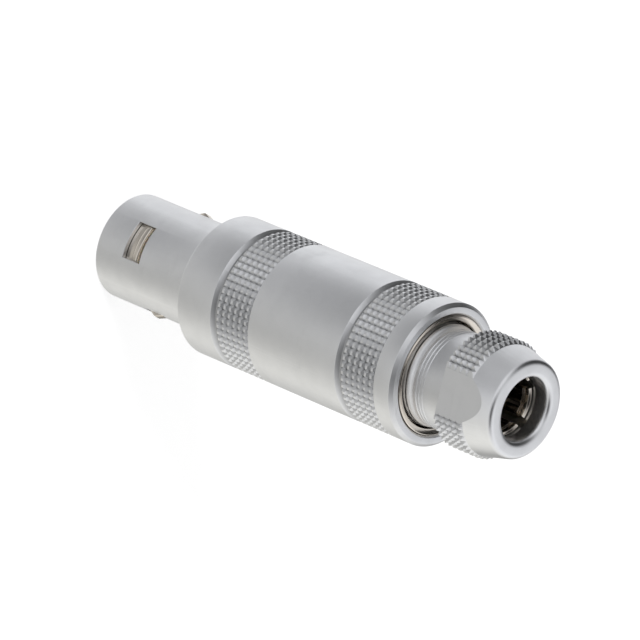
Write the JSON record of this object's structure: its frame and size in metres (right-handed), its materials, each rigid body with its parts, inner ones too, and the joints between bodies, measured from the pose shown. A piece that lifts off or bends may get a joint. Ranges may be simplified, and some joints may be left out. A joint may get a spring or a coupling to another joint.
{
  "type": "coaxial cable plug",
  "caption": "Push-pull coaxial cable plug: knurled sliding shell on a latching nose, with a collet nut that clamps the cable at its rear.",
  "frame": {"origin": "centre of the nose's tip, on the axis", "axes": "+Z along the axis from the nose towards the cable end, +X through a latch tooth, +Y through a snap lug"},
  "size_m": [0.012, 0.012, 0.0447],
  "materials": {
    "satin_chrome": "satin",
    "nickel": "bright",
    "insulator": "matte",
    "gold": "bright",
    "carrier_brass": "satin"
  },
  "bodies": {
    "core": {"latch_sleeve": "nickel", "front_insulator": "insulator", "rear_insulator": "insulator", "centre_contact": "gold", "carrier_half_a": "carrier_brass", "carrier_half_b": "carrier_brass", "earthing_cone": "nickel"},
    "shell": {"outer_shell": "satin_chrome"},
    "collet": {"collet": "nickel"},
    "nut": {"collet_nut": "satin_chrome"}
  },
  "joints": [
    {"name": "shell_release", "type": "slide", "parent": "core", "child": "shell", "axis": [0, 0, 1], "range_m": [0, 0.0007], "stiffness_N_per_m": 6000, "springref_m": -0.00005},
    {"name": "collet_advance", "type": "slide", "parent": "core", "child": "collet", "axis": [0, 0, 1], "range_m": [-0.0025, 0.0018]},
    {"name": "nut_turn", "type": "hinge", "parent": "collet", "child": "nut", "pos_m": [0, 0, 0.042], "axis": [0, 0, 1], "range_deg": [-1500, 1080]}
  ],
  "couplings": [
    {"joint": "nut_turn", "follows": "collet_advance", "rad_per_m": 10472}
  ]
}
